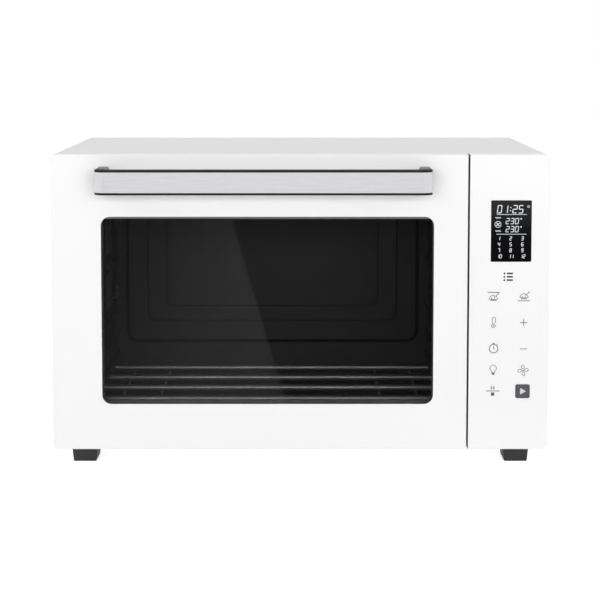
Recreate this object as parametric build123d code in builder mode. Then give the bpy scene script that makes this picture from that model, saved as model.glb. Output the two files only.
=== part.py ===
from build123d import *
import os
from math import cos, radians, sin

os.makedirs("parts", exist_ok=True)

# Mini oven with a drop-down glass door, a handle bar and a touch panel on its right.
# Millimetres. +Z is up, the front faces -Y, and the origin is under the middle of the whole oven.

# Front and body, as read from the outside
fascia_width = 540.0
fascia_height = 322.0
foot_height = 21.0
body_depth = 365.0
handle_standoff = 46.0
spacer_length = 8.0
corner_radius = 4.0

# Door
panel_width = 87.5
panel_gap = 1.5
door_skin = 1.2
door_depth = 23.7
edge_round = 1.0
window_bottom = 50.0
window_top_side = 67.0
window_left_side = 54.4
window_right_side = 36.6
window_radius = 10.0
outer_glass_thickness = 4.0
inner_glass_thickness = 3.0
inner_frame_thickness = 1.5
glass_overlap = 12.0
seal_thickness = 1.5
seal_width = 8.0
seal_gap = 0.3

# Handle
handle_short = 2.0
handle_offset = -3.4
handle_height = 26.4
handle_depth = 14.0
handle_drop = 13.6
handle_corner = 12.0
strip_thickness = 0.8
strip_margin = 1.5
post_width = 12.0
post_height = 28.0
post_corner = 2.5
post_screw_radius = 2.0
post_screw_grip = 14.0
screw_head_radius = 3.8
screw_head_height = 2.4

# Hinge
pivot_back = 8.0
pivot_up = 6.0
pin_radius = 2.5
pin_clearance = 0.05
ear_width = 6.0
ear_radius = 5.5
ear_clearance = 0.5
cheek_thickness = 2.0
cheek_height = 26.0
hinge_inset = 20.0
pin_end = 3.0
flange_width = 26.0
flange_height = 14.0
flange_thickness = 2.0
flange_rise = 2.5
spring_wire = 1.3
spring_turns = 2
spring_pitch = 3.4
spring_gap = 0.3

# Sheet metal
sheet = 1.0
front_sheet = 1.2
case_bend = 4.0
fit = 0.3
press_depth = 0.5
press_slope = 60.0
press_side = 14.0
press_end = 12.0
press_corner = 12.0

# Cavity
cavity_left = 39.0
cavity_right = 20.0
cavity_floor_up = 17.0
cavity_top_gap = 39.0
cavity_back = 330.0
cavity_lip = 8.0
rib_radius = 4.0
rib_levels = (51.0, 78.0, 109.0, 171.0)
bead_sides = (10.5, 38.0, 62.0)
bead_bottoms = (63.0, 91.0, 110.5)
bead_top_gap = 28.0
bead_rises = (4.0, 2.0, 1.5)
bead_radius = 16.0
bead_slopes = (50.0, 40.0, 40.0)
bead_top_step = 14.0
bead_radius_step = 2.5

# Heating tubes
tube_radius = 4.2
tube_depths = (101.0, 168.0, 233.0, 300.0)
lower_tube_up = 36.0
upper_tube_down = 22.0
tube_overhang = 13.0
cap_size = 13.0
cap_cover = 1.0
cap_clearance = 0.2
guard_radius = 1.25
guard_side = 24.0
guard_spacing = 44.0

# Crumb tray
tray_side = 13.0
tray_depth = 284.0
tray_corner = 5.0
tray_rim = 7.0
tray_lip = 12.0
tray_sheet = 0.8
tray_bead_side = 47.0
tray_bead_end = 28.0
tray_bead_width = 7.0
tray_bead_rise = 1.6
tray_bead_slope = 35.0

# Spit drive
spit_depth = 190.0
spit_below_middle = 3.0
socket_radius = 8.0
socket_square = 7.0
socket_reach = 11.0
spit_motor_radius = 24.0
spit_motor_length = 26.0
socket_edge = 1.0
hook_width = 13.0
hook_height = 14.0
hook_wire = 2.5
hook_tail = 4.0
hook_bend = 4.0
socket_tail = 5.0
socket_shaft_radius = 3.5
socket_shaft_length = 10.0
bridge_length = 70.0
bridge_width = 12.0
bridge_sheet = 1.5
bridge_boss_radius = 4.0

# Fan
fan_behind_spit = 2.0
fan_above_middle = 15.0
fan_radius = 44.0
fan_blades = 8
fan_blade_width = 15.0
fan_shaft_radius = 3.0
dish_clearance = 5.0
dish_depth = 24.0
motor_radius = 27.0
motor_length = 24.0
cooler_radius = 30.0
cooler_blades = 5
dish_flange = 8.0
fan_side_gap = 3.0
fan_hub_radius = 9.0
fan_twist = 55.0
fan_sheet = 1.0
shaft_hole_gap = 1.0
motor_stand = 8.0
leg_radius = 3.0
leg_inset = 6.0
motor_edge = 2.0
blade_root = 1.0
cooler_hub_length = 9.0
cooler_blade_width = 9.0
cooler_twist = 40.0
air_slot_radius = 33.0
air_slot_length = 16.0
air_slot_width = 5.0
air_slot_count = 12

# Lamp
lamp_depth = 92.0
lamp_down = 61.0
lamp_size = 44.0
lamp_corner = 4.0
lamp_box_depth = 30.0
lamp_rim = 7.0
bulb_radius = 9.0
bulb_length = 22.0
bulb_taper = 5.0

# Temperature probe
probe_depth = 140.0
probe_down = 10.0
probe_radius = 2.5
probe_reach = 22.0
probe_tail = 8.0
probe_collar_radius = 5.5

# Control panel
display_width = 44.0
display_height = 66.9
display_down = 82.6
display_in = 45.2
key_width = 16.0
key_height = 15.5
key_up = 64.2
key_in = 59.3
panel_wall = 2.5
lens_thickness = 2.0
lens_recess = 0.3
panel_inner_radius = 2.0
display_radius = 1.0
key_radius = 2.2
key_thickness = 1.0
key_gap = 0.15
module_rim = 3.0
module_depth = 7.0
board_gap = 4.0
board_up = 22.0
board_width = 76.0
board_thickness = 1.6
chip_size = 12.0
chip_height = 3.0
chip_pitch = 46.0
power_stand = 8.0
power_width = 74.0
power_length = 96.0
power_post_radius = 3.0
power_post_inset = 6.0
transformer_width = 32.0
transformer_length = 28.0
transformer_height = 24.0
transformer_left = 14.0
transformer_forward = 22.0
relay_width = 14.0
relay_length = 20.0
relay_height = 16.0
relay_pitch = 20.0
relay_back = 20.0

# Feet and rear
foot_width = 29.5
foot_depth = 45.0
foot_inset = 16.0
foot_front = 32.0
foot_slope = 6.0
foot_chamfer = 2.5
spacer_radius = 7.0
spacer_down = 72.0
spacer_side = 150.0
spacer_edge = 1.5
rear_screw_side = 22.0
rear_screw_inset = 12.0
inlet_bore_radius = 4.0
vent_length = 34.0
vent_width = 4.0
vent_pitch_y = 42.0
vent_pitch_z = 10.0
vent_columns = 2
vent_rows = 4
vent_inset = 62.0
vent_drop = 46.0
rear_vent_side = 85.0
base_vent_in = 52.0
base_vent_pitch = 24.0
base_vent_columns = 2
base_vent_rows = 4
inlet_side = 46.0
inlet_up = 42.0
inlet_radius = 8.0
inlet_flange = 3.0
inlet_flange_thickness = 2.0
inlet_neck = 2.0
wire_window_width = 50.0
wire_window_height = 150.0
wire_window_radius = 4.0

# Derived places
front_y = -(handle_standoff + body_depth + spacer_length) / 2 + handle_standoff
base_z = foot_height
left_x = -fascia_width / 2
right_x = fascia_width / 2
door_width = fascia_width - panel_width - panel_gap
door_right = left_x + door_width
panel_left = door_right + panel_gap
panel_x = panel_left + panel_width / 2
frame_y = front_y + door_depth + seal_thickness + seal_gap
back_y = front_y + body_depth
window_left = left_x + window_left_side
window_width = door_width - window_left_side - window_right_side
window_x = window_left + window_width / 2
window_height = fascia_height - window_bottom - window_top_side
window_z = base_z + window_bottom + window_height / 2
door_x = left_x + door_width / 2
middle_z = base_z + fascia_height / 2
pivot_y = front_y + pivot_back
pivot_z = base_z + pivot_up
cavity_width = door_width - cavity_left - cavity_right
cavity_x0 = left_x + cavity_left
cavity_x1 = cavity_x0 + cavity_width
cavity_x = (cavity_x0 + cavity_x1) / 2
cavity_z0 = base_z + cavity_floor_up
cavity_height = fascia_height - cavity_floor_up - cavity_top_gap
cavity_z1 = cavity_z0 + cavity_height
cavity_middle_z = (cavity_z0 + cavity_z1) / 2
cavity_front_y = frame_y + front_sheet
cavity_back_y = front_y + cavity_back
lower_tube_z = base_z + lower_tube_up
upper_tube_z = cavity_z1 - upper_tube_down
spit_y = front_y + spit_depth
spit_z = cavity_middle_z - spit_below_middle
dish_radius = fan_radius + dish_clearance
fan_y = spit_y + spit_motor_radius + fan_behind_spit + sheet + dish_radius
fan_z = cavity_middle_z + fan_above_middle
lamp_y = front_y + lamp_depth
lamp_z = cavity_z1 - lamp_down
probe_y = front_y + probe_depth
probe_z = cavity_z1 - probe_down
power_y = front_y + lamp_depth + power_length / 4
handle_length = window_width - handle_short
handle_x = window_x + handle_offset
handle_front_y = front_y - handle_standoff
handle_back_y = handle_front_y + handle_depth
handle_bottom = fascia_height - handle_drop - handle_height
handle_z = base_z + handle_bottom + handle_height / 2
hinge_xs = (left_x + hinge_inset, door_right - hinge_inset)
case_inside_x = right_x - sheet
inlet_x = right_x - inlet_side
rear_vent_x = right_x - rear_vent_side
spacer_x = right_x - spacer_side
rear_screw_x = right_x - rear_screw_side
display_x = panel_left + display_in
display_z = base_z + fascia_height - display_down
key_x = panel_left + key_in
key_z = base_z + key_up


def facing_front(y):
    """A plane at y whose normal looks towards the front, with x to the right and z up."""
    return Plane(origin=(0, y, 0), x_dir=(1, 0, 0), z_dir=(0, -1, 0))


def facing_right(x):
    """A plane at x whose normal looks towards +X, with y to the right and z up."""
    return Plane(origin=(x, 0, 0), x_dir=(0, 1, 0), z_dir=(1, 0, 0))


def save(piece, name):
    """Label a finished piece and write its STEP file."""
    piece.part.label = name
    export_step(piece.part, f"parts/{name}.step")


def door_face(plane):
    """The door's outline, rounded at its two free corners and square beside the control panel."""
    with BuildSketch(plane) as face:
        with Locations((door_x, middle_z)):
            Rectangle(door_width, fascia_height)
        fillet(face.vertices().group_by(Axis.X)[0], corner_radius)
    return face.sketch


post_xs = (handle_x - handle_length / 2 + post_width / 2, handle_x + handle_length / 2 - post_width / 2)
post_screw_places = [(x, handle_z) for x in post_xs]

# Door skin: a shallow folded tray, open at the back, with the window cut out
with BuildPart() as door_panel:
    extrude(door_face(facing_front(front_y + door_depth - inner_frame_thickness)),
            amount=door_depth - inner_frame_thickness)
    fillet(door_panel.faces().sort_by(Axis.Y)[0].edges(), edge_round)
    with BuildSketch(facing_front(front_y + door_depth)):
        with Locations((door_x, middle_z)):
            RectangleRounded(door_width - 2 * door_skin, fascia_height - 2 * door_skin,
                             corner_radius - door_skin)
    extrude(amount=door_depth - door_skin, mode=Mode.SUBTRACT)
    with BuildSketch(facing_front(front_y + door_skin)):
        with Locations((window_x, window_z)):
            RectangleRounded(window_width, window_height, window_radius)
    extrude(amount=2 * door_skin, both=True, mode=Mode.SUBTRACT)
    with BuildSketch(facing_front(front_y + door_skin)):
        with Locations(*post_screw_places):
            Circle(post_screw_radius + pin_clearance)
    extrude(amount=door_skin, mode=Mode.SUBTRACT)
    with BuildSketch(Plane.XY.offset(base_z)):
        with Locations(*[(x, front_y + door_skin + door_depth / 2) for x in hinge_xs]):
            Rectangle(ear_width + 2 * ear_clearance, door_depth)
    extrude(amount=2 * door_skin, mode=Mode.SUBTRACT)
save(door_panel, "door_panel")

# Outer door glass, behind the skin
with BuildPart() as outer_glass:
    with BuildSketch(facing_front(front_y + door_skin)):
        with Locations((window_x, window_z)):
            RectangleRounded(window_width + 2 * glass_overlap, window_height + 2 * glass_overlap, window_radius)
    extrude(amount=-outer_glass_thickness)
save(outer_glass, "outer_door_glass")

# Inner door glass, held by the inner frame
inner_glass_y = front_y + door_depth - inner_frame_thickness - inner_glass_thickness
with BuildPart() as inner_glass:
    with BuildSketch(facing_front(inner_glass_y)):
        with Locations((window_x, window_z)):
            RectangleRounded(window_width + 2 * glass_overlap, window_height + 2 * glass_overlap, window_radius)
    extrude(amount=-inner_glass_thickness)
save(inner_glass, "inner_door_glass")

# Spacer ring that keeps the two panes apart
spacer_y0 = front_y + door_skin + outer_glass_thickness
with BuildPart() as glass_spacer:
    with BuildSketch(facing_front(spacer_y0)):
        with Locations((window_x, window_z)):
            RectangleRounded(window_width + 2 * glass_overlap, window_height + 2 * glass_overlap, window_radius)
            RectangleRounded(window_width + glass_overlap, window_height + glass_overlap, window_radius,
                             mode=Mode.SUBTRACT)
    extrude(amount=-(inner_glass_y - spacer_y0))
save(glass_spacer, "glass_spacer")

# Inner door frame: the plate that closes the back of the door
with BuildPart() as door_inner_frame:
    with BuildSketch(facing_front(front_y + door_depth - inner_frame_thickness)):
        add(door_face(Plane.XY))
        with Locations((window_x, window_z)):
            RectangleRounded(window_width, window_height, window_radius, mode=Mode.SUBTRACT)
        for x in hinge_xs:
            with Locations((x, base_z)):
                Rectangle(ear_width + 2 * ear_clearance, 2 * (pivot_up + ear_radius + ear_clearance),
                          mode=Mode.SUBTRACT)
    extrude(amount=-inner_frame_thickness)
save(door_inner_frame, "door_inner_frame")

# Door seal: a flat ring round the window that meets the oven's front frame
with BuildPart() as door_seal:
    seal_in_width = window_width + 2 * glass_overlap
    seal_in_height = window_height + 2 * glass_overlap
    with BuildSketch(facing_front(front_y + door_depth)):
        with Locations((window_x, window_z)):
            RectangleRounded(seal_in_width + 2 * seal_width, seal_in_height + 2 * seal_width,
                             window_radius + seal_width)
            RectangleRounded(seal_in_width, seal_in_height, window_radius, mode=Mode.SUBTRACT)
    extrude(amount=-seal_thickness)
save(door_seal, "door_seal")


def strip_band():
    """Plan of the strip: a thin band along the bar's front that follows its swept corners."""
    bar_middle_y = (handle_front_y + handle_back_y) / 2
    with BuildSketch(Plane.XY.offset(base_z + handle_bottom + strip_margin)) as band:
        with Locations((handle_x, bar_middle_y)):
            Rectangle(handle_length, handle_depth)
        fillet(band.vertices().group_by(Axis.Y)[0], handle_corner)
        with BuildSketch(mode=Mode.PRIVATE) as core:
            with Locations((handle_x, bar_middle_y + strip_thickness)):
                Rectangle(handle_length - 2 * strip_thickness, handle_depth)
            fillet(core.vertices().group_by(Axis.Y)[0], handle_corner - strip_thickness)
        add(core.sketch, mode=Mode.SUBTRACT)
    return band.sketch


# Handle bar: a flat moulded bar whose front corners sweep back to the posts
with BuildPart() as handle_bar:
    with BuildSketch(Plane.XY.offset(base_z + handle_bottom)):
        with Locations((handle_x, (handle_front_y + handle_back_y) / 2)):
            Rectangle(handle_length, handle_depth)
    extrude(amount=handle_height)
    fillet(handle_bar.edges().filter_by(Axis.Z).group_by(Axis.Y)[0], handle_corner)
    fillet(handle_bar.faces().sort_by(Axis.Y)[-1].edges().filter_by(Axis.X), edge_round)
    extrude(strip_band(), amount=handle_height - 2 * strip_margin, mode=Mode.SUBTRACT)
save(handle_bar, "handle_bar")

# Brushed strip: the thin metal face let into the front of the handle bar
with BuildPart() as handle_strip:
    extrude(strip_band(), amount=handle_height - 2 * strip_margin)
save(handle_strip, "handle_strip")

# Handle posts: two end blocks between the bar and the door, drilled for their screws
with BuildPart() as handle_posts:
    with BuildSketch(facing_front(front_y)):
        with Locations(*post_screw_places):
            RectangleRounded(post_width, post_height, post_corner)
    extrude(amount=front_y - handle_back_y)
    with BuildSketch(facing_front(front_y)):
        with Locations(*post_screw_places):
            Circle(post_screw_radius)
    extrude(amount=post_screw_grip, mode=Mode.SUBTRACT)
save(handle_posts, "handle_posts")

# Handle screws: from inside the door skin into the posts
with BuildPart() as handle_screws:
    with BuildSketch(facing_front(front_y + door_skin)):
        with Locations(*post_screw_places):
            Circle(post_screw_radius)
    extrude(amount=door_skin + post_screw_grip)
    with BuildSketch(facing_front(front_y + door_skin)):
        with Locations(*post_screw_places):
            Circle(screw_head_radius)
    extrude(amount=-screw_head_height)
save(handle_screws, "handle_screws")

# Hinge brackets: an ear on each side that reaches forward from the front frame
ear_reach = frame_y - pivot_y
with BuildPart() as hinge_brackets:
    for x in hinge_xs:
        with BuildSketch(facing_right(x - ear_width / 2)):
            with Locations((pivot_y, pivot_z)):
                Circle(ear_radius)
            with Locations((pivot_y + (ear_reach + front_sheet) / 2, pivot_z)):
                Rectangle(ear_reach + front_sheet, 2 * ear_radius)
            with Locations((pivot_y, pivot_z)):
                Circle(pin_radius, mode=Mode.SUBTRACT)
        extrude(amount=ear_width)
        with BuildSketch(facing_front(cavity_front_y)):
            with Locations((x, pivot_z + flange_rise)):
                Rectangle(flange_width, flange_height)
        extrude(amount=-flange_thickness)
save(hinge_brackets, "hinge_brackets")

# Hinge pins: pressed in the ears, with the door's cheeks turning on their ends
coil_room = spring_turns * spring_pitch + 2 * spring_gap
pin_half = ear_width / 2 + ear_clearance + cheek_thickness + pin_end
inward = (1, -1)
with BuildPart() as hinge_pins:
    for x, side in zip(hinge_xs, inward):
        with BuildSketch(facing_right(x - pin_half - (coil_room if side < 0 else 0))):
            with Locations((pivot_y, pivot_z)):
                Circle(pin_radius)
        extrude(amount=2 * pin_half + coil_room)
save(hinge_pins, "hinge_pins")

# Hinge springs: a coil round each pin between the ear and the inner cheek
spring_radius = pin_radius + spring_gap + spring_wire / 2
with BuildPart() as hinge_springs:
    for x, side in zip(hinge_xs, inward):
        coil_x = x + side * (ear_width / 2 + spring_gap + spring_wire / 2)
        with BuildLine():
            coil = Helix(spring_pitch, spring_turns * spring_pitch - spring_wire, spring_radius,
                         center=(coil_x, pivot_y, pivot_z), direction=(side, 0, 0))
        with BuildSketch(Plane(origin=coil @ 0, z_dir=coil % 0)):
            Rectangle(spring_wire, spring_wire)
        sweep(path=coil, is_frenet=True)
save(hinge_springs, "hinge_springs")

# Hinge cheeks: a folded bracket on the door at each ear, with a plate on both sides of it
cheek_y0 = front_y + door_skin
cheek_y1 = front_y + door_depth - inner_frame_thickness
with BuildPart() as hinge_cheeks:
    for x, coil_side in zip(hinge_xs, inward):
        for side in (-1, 1):
            coil_space = coil_room if side == coil_side else 0
            cheek_x = x + side * (ear_width / 2 + ear_clearance + cheek_thickness / 2 + coil_space)
            with BuildSketch(facing_right(cheek_x - cheek_thickness / 2)):
                with Locations(((cheek_y0 + cheek_y1) / 2, base_z + door_skin + cheek_height / 2)):
                    Rectangle(cheek_y1 - cheek_y0, cheek_height)
                with Locations((pivot_y, pivot_z)):
                    Circle(pin_radius + pin_clearance, mode=Mode.SUBTRACT)
            extrude(amount=cheek_thickness)
        web_bottom = pivot_z + ear_radius + 3 * ear_clearance
        web_top = base_z + door_skin + cheek_height
        with BuildSketch(facing_front(cheek_y1)):
            with Locations((x + coil_side * coil_room / 2, (web_bottom + web_top) / 2)):
                Rectangle(ear_width + 2 * ear_clearance + coil_room, web_top - web_bottom)
        extrude(amount=cheek_thickness)
save(hinge_cheeks, "hinge_cheeks")


def bent_section(plane, inset):
    """The case's section seen from the front, rounded at its two top bends, drawn inset from the outside."""
    with BuildSketch(plane) as section:
        with Locations((0, middle_z - inset / 2)):
            Rectangle(fascia_width - 2 * inset, fascia_height - inset)
        fillet(section.vertices().group_by(Axis.Y)[-1], case_bend - inset)
    return section.sketch


# Front frame: the steel face behind the door and the panel, cut out for the cavity and the ears
opening_x0 = cavity_x0 + cavity_lip
opening_x1 = cavity_x1 - cavity_lip
opening_z0 = cavity_z0 + cavity_lip
opening_z1 = cavity_z1 - cavity_lip
with BuildPart() as front_frame:
    with BuildSketch(facing_front(cavity_front_y)):
        add(bent_section(Plane.XY, sheet))
        with Locations(((opening_x0 + opening_x1) / 2, (opening_z0 + opening_z1) / 2)):
            RectangleRounded(opening_x1 - opening_x0, opening_z1 - opening_z0, window_radius,
                             mode=Mode.SUBTRACT)
        with Locations(*[(x, pivot_z) for x in hinge_xs]):
            Rectangle(ear_width, 2 * ear_radius, mode=Mode.SUBTRACT)
        with Locations((display_x, middle_z)):
            RectangleRounded(wire_window_width, wire_window_height, wire_window_radius, mode=Mode.SUBTRACT)
    extrude(amount=front_sheet)
save(front_frame, "front_frame")

# Outer case: one sheet bent over the left side, the top and the right side, with vent slots
case_length = back_y - frame_y
with BuildPart() as outer_case:
    extrude(bent_section(facing_front(back_y), 0), amount=case_length)
    extrude(bent_section(facing_front(back_y), sheet), amount=case_length, mode=Mode.SUBTRACT)
    with BuildSketch(Plane.XY.offset(base_z + fascia_height)):
        with Locations((0, (frame_y + back_y) / 2)):
            RectangleRounded(fascia_width - 2 * press_side, case_length - 2 * press_end, press_corner)
    extrude(amount=-press_depth, taper=press_slope, mode=Mode.SUBTRACT)
    with BuildSketch(facing_right(right_x)):
        with Locations((back_y - vent_inset, base_z + fascia_height - vent_drop)):
            with GridLocations(vent_pitch_y, vent_pitch_z, vent_columns, vent_rows):
                Rectangle(vent_length, vent_width)
    extrude(amount=-2 * sheet, mode=Mode.SUBTRACT)
    with BuildSketch(facing_right(left_x)):
        with Locations((back_y - vent_inset, base_z + fascia_height - vent_drop)):
            with GridLocations(vent_pitch_y, vent_pitch_z, vent_columns, vent_rows):
                Rectangle(vent_length, vent_width)
    extrude(amount=2 * sheet, mode=Mode.SUBTRACT)
save(outer_case, "outer_case")

# Rear panel: a flat sheet with the vent slots and the hole for the mains inlet
with BuildPart() as rear_panel:
    with BuildSketch(facing_front(back_y)):
        add(bent_section(Plane.XY, sheet))
        with Locations((rear_vent_x, base_z + fascia_height - vent_drop)):
            with GridLocations(vent_pitch_y, vent_pitch_z, vent_columns, vent_rows):
                Rectangle(vent_length, vent_width, mode=Mode.SUBTRACT)
        with Locations((-rear_vent_x, base_z + fascia_height - vent_drop)):
            with GridLocations(vent_pitch_y, vent_pitch_z, vent_columns, vent_rows):
                Rectangle(vent_length, vent_width, mode=Mode.SUBTRACT)
        with Locations((inlet_x, base_z + inlet_up)):
            Circle(inlet_radius, mode=Mode.SUBTRACT)
    extrude(amount=sheet)
save(rear_panel, "rear_panel")

# Base plate: the bottom sheet, slotted for cooling air
with BuildPart() as base_plate:
    base_front = cavity_front_y
    base_back = back_y - sheet
    with BuildSketch(Plane.XY.offset(base_z)):
        with Locations((0, (base_front + base_back) / 2)):
            Rectangle(fascia_width - 2 * sheet, base_back - base_front)
        with Locations((case_inside_x - base_vent_in, (base_front + base_back) / 2)):
            with GridLocations(vent_pitch_y, base_vent_pitch, base_vent_columns, base_vent_rows):
                Rectangle(vent_length, vent_width, mode=Mode.SUBTRACT)
    extrude(amount=sheet)
save(base_plate, "base_plate")


def wall_profile(inside_x, outward):
    """Section of a cavity side wall from the front: a sheet with flat-topped shelf ribs pressed inwards."""
    with BuildSketch(facing_front(cavity_front_y)) as profile:
        with Locations((inside_x + outward * sheet / 2, (cavity_z0 + cavity_z1) / 2)):
            Rectangle(sheet, cavity_z1 - cavity_z0)
        for level in rib_levels:
            with Locations((inside_x, base_z + level)):
                RegularPolygon(rib_radius, 6, rotation=30)
        for level in rib_levels:
            with Locations((inside_x + outward * sheet, base_z + level)):
                RegularPolygon(rib_radius, 6, rotation=30, mode=Mode.SUBTRACT)
        with Locations((inside_x + outward * (sheet + rib_radius), (cavity_z0 + cavity_z1) / 2)):
            Rectangle(2 * rib_radius, cavity_height, mode=Mode.SUBTRACT)
    return profile.sketch


lower_tube_places = [(front_y + depth, lower_tube_z) for depth in tube_depths]
upper_tube_places = [(front_y + depth, upper_tube_z) for depth in tube_depths]
tube_places = lower_tube_places + upper_tube_places
cavity_length = cavity_back_y - cavity_front_y

# Left cavity wall, with its ribs, the tube holes and the hole of the spit hook
with BuildPart() as cavity_left_wall:
    extrude(wall_profile(cavity_x0, -1), amount=-cavity_length)
    with BuildSketch(facing_right(cavity_x0)):
        with Locations(*tube_places):
            Circle(tube_radius + fit)
        with Locations((spit_y, spit_z - hook_height / 2)):
            Circle(hook_wire / 2 + fit)
    extrude(amount=2 * sheet, both=True, mode=Mode.SUBTRACT)
save(cavity_left_wall, "cavity_left_wall")

# Right cavity wall, with the fan's air slots, the lamp opening and the spit drive's hole as well
with BuildPart() as cavity_right_wall:
    extrude(wall_profile(cavity_x1, 1), amount=-cavity_length)
    with BuildSketch(facing_right(cavity_x1)):
        with Locations(*tube_places):
            Circle(tube_radius + fit)
        with Locations((spit_y, spit_z)):
            Circle(socket_radius + fit)
        with Locations((lamp_y, lamp_z)):
            RectangleRounded(lamp_size, lamp_size, lamp_corner)
        with Locations((probe_y, probe_z)):
            Circle(probe_radius + fit)
        with Locations((fan_y, fan_z)):
            with PolarLocations(air_slot_radius, air_slot_count):
                Rectangle(air_slot_length, air_slot_width)
    extrude(amount=rib_radius + 2 * sheet, both=True, mode=Mode.SUBTRACT)
save(cavity_right_wall, "cavity_right_wall")

# Cavity roof and floor, flat sheets between the side walls' outer faces
cavity_middle_y = (cavity_front_y + cavity_back_y) / 2
with BuildPart() as cavity_roof:
    with BuildSketch(Plane.XY.offset(cavity_z1)):
        with Locations((cavity_x, cavity_middle_y)):
            Rectangle(cavity_width + 2 * sheet, cavity_length)
    extrude(amount=sheet)
save(cavity_roof, "cavity_roof")

with BuildPart() as cavity_floor:
    with BuildSketch(Plane.XY.offset(cavity_z0)):
        with Locations((cavity_x, cavity_middle_y)):
            Rectangle(cavity_width + 2 * sheet, cavity_length)
    extrude(amount=-sheet)
save(cavity_floor, "cavity_floor")

# Cavity back wall: a sheet pressed forward in three nested steps
back_wall_plane = facing_front(cavity_back_y)
step_top = cavity_z1 - bead_top_gap


def pressed_step(index):
    """Outline of one pressed step, narrower and shorter than the one before it."""
    with BuildSketch(back_wall_plane.offset(sum(bead_rises[:index]))) as outline:
        bottom = base_z + bead_bottoms[index]
        top = step_top - index * bead_top_step
        with Locations((cavity_x, (bottom + top) / 2)):
            RectangleRounded(cavity_width - 2 * bead_sides[index], top - bottom,
                             bead_radius - index * bead_radius_step)
    return outline.sketch


with BuildPart() as cavity_back_wall:
    with BuildSketch(back_wall_plane):
        with Locations((cavity_x, (cavity_z0 + cavity_z1) / 2)):
            Rectangle(cavity_width + 2 * sheet, cavity_height)
    extrude(amount=-sheet)
    for index, (rise, slope) in enumerate(zip(bead_rises, bead_slopes)):
        extrude(pressed_step(index), amount=rise, taper=slope)
    for index, (rise, slope) in enumerate(zip(bead_rises, bead_slopes)):
        extrude(Pos(0, sheet, 0) * pressed_step(index), amount=rise, taper=slope, mode=Mode.SUBTRACT)
save(cavity_back_wall, "cavity_back_wall")


def tube_row(places):
    """Four straight tubes through both side walls."""
    with BuildSketch(facing_right(cavity_x0 - tube_overhang)) as ends:
        with Locations(*places):
            Circle(tube_radius)
    return ends.sketch


tube_length = cavity_width + 2 * tube_overhang

# Lower and upper heating tubes
with BuildPart() as lower_heating_tubes:
    extrude(tube_row(lower_tube_places), amount=tube_length)
save(lower_heating_tubes, "lower_heating_tubes")

with BuildPart() as upper_heating_tubes:
    extrude(tube_row(upper_tube_places), amount=tube_length)
save(upper_heating_tubes, "upper_heating_tubes")


def cap_blocks(places):
    """Square ceramic end blocks on both ends of a row of tubes, each with a socket for the tube's end."""
    with BuildPart() as caps:
        for side in (-1, 1):
            wall_x = cavity_x0 - sheet if side < 0 else cavity_x1 + sheet
            with BuildSketch(facing_right(wall_x)):
                with Locations(*places):
                    Rectangle(cap_size, cap_size)
            extrude(amount=side * (tube_overhang + cap_cover))
            with BuildSketch(facing_right(wall_x)):
                with Locations(*places):
                    Rectangle(2 * (tube_radius + cap_clearance), 2 * (tube_radius + cap_clearance))
            extrude(amount=side * (tube_overhang - sheet + cap_clearance), mode=Mode.SUBTRACT)
    return caps


# Ceramic caps, one at each end of every tube
lower_tube_caps = cap_blocks(lower_tube_places)
save(lower_tube_caps, "lower_tube_caps")
upper_tube_caps = cap_blocks(upper_tube_places)
save(upper_tube_caps, "upper_tube_caps")

# Guard wires under the lower tubes, from the front of the cavity to its back wall
guard_z = lower_tube_z - tube_radius - guard_radius
guard_x = cavity_width / 2 - guard_side
guard_offsets = (-guard_x, guard_spacing - guard_x, guard_x - guard_spacing, guard_x)
with BuildPart() as tube_guards:
    with BuildSketch(facing_front(cavity_back_y)):
        with Locations(*[(cavity_x + offset, guard_z) for offset in guard_offsets]):
            Circle(guard_radius)
    extrude(amount=cavity_length)
save(tube_guards, "tube_guards")

# Crumb tray: a shallow folded sheet on the cavity floor, with a rolled pull lip in front
tray_y = cavity_back_y - fit - tray_depth / 2
tray_width = cavity_width - 2 * tray_side
tray_bead_x = tray_width / 2 - tray_bead_side
with BuildPart() as crumb_tray:
    with BuildSketch(Plane.XY.offset(cavity_z0)):
        with Locations((cavity_x, tray_y)):
            RectangleRounded(tray_width, tray_depth, tray_corner)
    extrude(amount=tray_rim)
    with BuildSketch(Plane.XY.offset(cavity_z0 + tray_sheet)):
        with Locations((cavity_x, tray_y)):
            RectangleRounded(tray_width - 2 * tray_sheet, tray_depth - 2 * tray_sheet, tray_corner - tray_sheet)
    extrude(amount=tray_rim, mode=Mode.SUBTRACT)
    with BuildSketch(Plane.XY.offset(cavity_z0 + tray_sheet)):
        with Locations((cavity_x, tray_y)):
            with GridLocations(2 * tray_bead_x, 0, 2, 1):
                Rectangle(tray_bead_width, tray_depth - 2 * tray_bead_end)
    extrude(amount=tray_bead_rise, taper=tray_bead_slope)
    with BuildSketch(Plane.XY.offset(cavity_z0 + tray_rim)):
        with Locations((cavity_x, tray_y - tray_depth / 2 - tray_lip / 2 + tray_sheet)):
            Rectangle(tray_width / 3, tray_lip)
    extrude(amount=-tray_sheet)
save(crumb_tray, "crumb_tray")

# Spit hook: a bent wire on the left wall that holds the free end of a spit
with BuildPart() as spit_hook:
    hook_z0 = spit_z - hook_height / 2
    with BuildLine(Plane(origin=(0, spit_y, 0), x_dir=(1, 0, 0), z_dir=(0, -1, 0))) as hook_path:
        FilletPolyline((cavity_x0 - hook_tail, hook_z0), (cavity_x0 + hook_width, hook_z0),
                       (cavity_x0 + hook_width, hook_z0 + hook_height), radius=hook_bend)
    with BuildSketch(Plane(hook_path.line @ 0, z_dir=hook_path.line % 0)):
        Circle(hook_wire / 2)
    sweep()
save(spit_hook, "spit_hook")

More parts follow.
